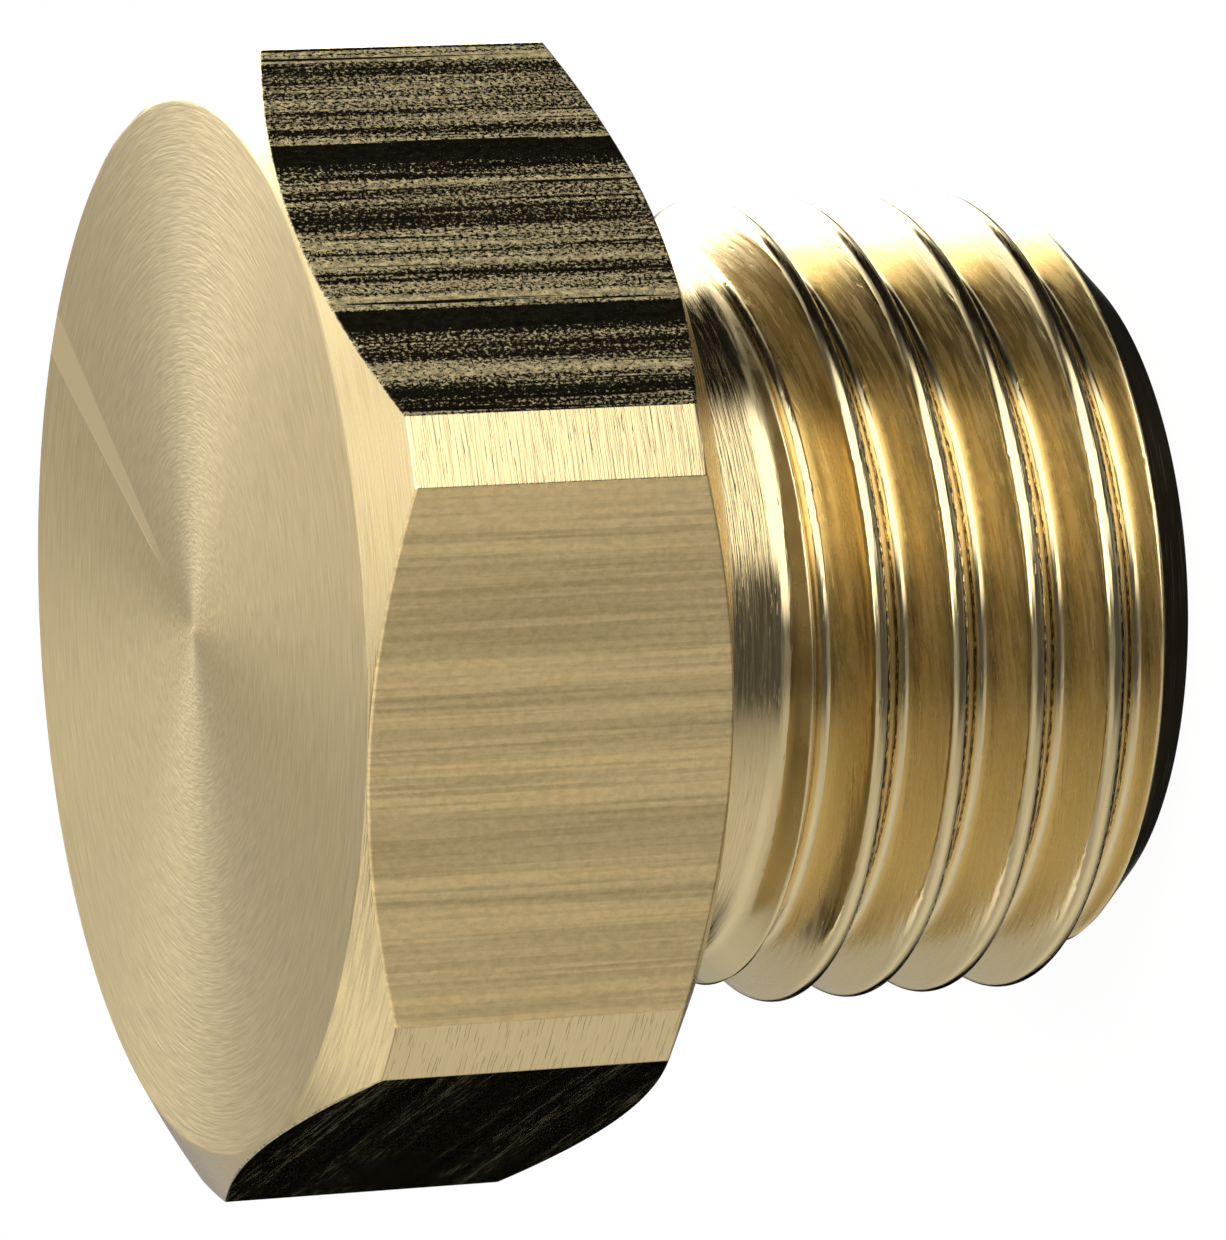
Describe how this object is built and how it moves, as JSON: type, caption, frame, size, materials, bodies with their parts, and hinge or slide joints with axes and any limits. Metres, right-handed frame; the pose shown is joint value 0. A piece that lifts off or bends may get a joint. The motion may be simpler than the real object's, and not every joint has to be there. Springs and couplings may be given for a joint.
{
  "type": "hex head plug",
  "caption": "Brass hex head plug with a chamfered head, a plain neck and a parallel pipe thread that closes a threaded port.",
  "frame": {"origin": "on the axis, in the plane of the seat under the head", "axes": "+Z along the axis from the thread to the head, +X square to one flat of the hexagon"},
  "size_m": [0.017, 0.019, 0.015],
  "materials": {
    "brass": "turned, with fine tool marks"
  },
  "bodies": {
    "root": {"plug": "brass"}
  },
  "joints": []
}
